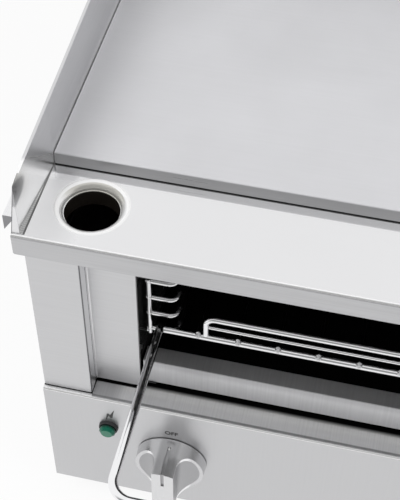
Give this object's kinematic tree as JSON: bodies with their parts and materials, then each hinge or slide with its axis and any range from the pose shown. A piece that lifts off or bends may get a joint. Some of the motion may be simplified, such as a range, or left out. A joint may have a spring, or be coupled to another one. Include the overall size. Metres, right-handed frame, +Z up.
{
  "type": "griddle toaster",
  "caption": "Counter-top griddle plate with a splash guard, grease channel and drain over a toasting chamber with a sliding wire rack, crumb tray and grease drawer.",
  "frame": {"origin": "on the counter, under the middle of the whole box, with the handle and the gland in it", "axes": "+X to the user's right, +Y to the back, +Z up"},
  "size_m": [0.5248, 0.5282, 0.393],
  "materials": {
    "griddle_steel": "brushed along the width",
    "brushed_steel": "brushed sheet",
    "polished_steel": "bright polished sheet",
    "bright_wire": "bright plated wire",
    "heat_steel": "dull, darkened by heat",
    "plated_steel": "plated fixings",
    "knob_silver": "satin silver, fluted",
    "black_plastic": "fine matt grain",
    "green_lens": "clear green, faceted",
    "ceramic": "unglazed",
    "insulation": "pressed fibre board",
    "foot_rubber": "moulded, matt"
  },
  "bodies": {
    "chassis": {"griddle_plate": "griddle_steel", "channel_tray": "polished_steel", "drain_cup": "polished_steel", "left_guard": "brushed_steel", "right_guard": "brushed_steel", "back_guard": "brushed_steel", "left_rail": "brushed_steel", "right_rail": "brushed_steel", "plate_supports": "brushed_steel", "left_side_panel": "brushed_steel", "right_side_panel": "brushed_steel", "left_liner": "polished_steel", "right_liner": "polished_steel", "back_liner": "polished_steel", "control_panel": "brushed_steel", "left_control_side": "brushed_steel", "right_control_side": "brushed_steel", "deck": "polished_steel", "deck_board": "insulation", "base_pan": "brushed_steel", "back_panel": "brushed_steel", "back_screws": "plated_steel", "column_cover": "brushed_steel", "foot_front_left": "foot_rubber", "foot_front_right": "foot_rubber", "foot_back_left": "foot_rubber", "foot_back_right": "foot_rubber", "foot_screws": "plated_steel", "drawer_runners": "brushed_steel", "left_guide_runners": "bright_wire", "right_guide_runners": "bright_wire", "left_guide_posts": "bright_wire", "right_guide_posts": "bright_wire", "tray_runners": "brushed_steel", "front_element": "heat_steel", "middle_element": "heat_steel", "back_element": "heat_steel", "element_clamps": "heat_steel", "clamp_studs": "plated_steel", "left_regulator": "ceramic", "right_regulator": "ceramic", "lamp_bezels": "black_plastic", "lamp_lenses": "green_lens", "terminal_block": "ceramic", "cable_gland": "black_plastic"},
    "drawer": {"grease_drawer": "brushed_steel", "drawer_front": "brushed_steel"},
    "toast_rack": {"rack_left_rod": "bright_wire", "rack_right_rod": "bright_wire", "rack_handle": "bright_wire", "rack_front_wire": "bright_wire", "rack_back_wire": "bright_wire", "rack_cross_wires": "bright_wire", "rack_fence": "bright_wire", "rack_fence_rail": "bright_wire"},
    "tray": {"crumb_tray": "brushed_steel"},
    "left_control": {"left_knob": "knob_silver", "left_shaft": "plated_steel"},
    "right_control": {"right_knob": "knob_silver", "right_shaft": "plated_steel"}
  },
  "joints": [
    {"name": "drawer_slide", "type": "slide", "parent": "chassis", "child": "drawer", "axis": [0, -1, 0], "range_m": [0, 0.22]},
    {"name": "rack_slide", "type": "slide", "parent": "chassis", "child": "toast_rack", "axis": [0, -1, 0], "range_m": [0, 0.22]},
    {"name": "tray_slide", "type": "slide", "parent": "chassis", "child": "tray", "axis": [0, -1, 0], "range_m": [0, 0.28]},
    {"name": "left_knob_turn", "type": "hinge", "parent": "chassis", "child": "left_control", "pos_m": [-0.1544, -0.15045, 0.086], "axis": [0, 1, 0], "range_deg": [0, 270]},
    {"name": "right_knob_turn", "type": "hinge", "parent": "chassis", "child": "right_control", "pos_m": [0.1544, -0.15045, 0.086], "axis": [0, 1, 0], "range_deg": [0, 270]}
  ]
}
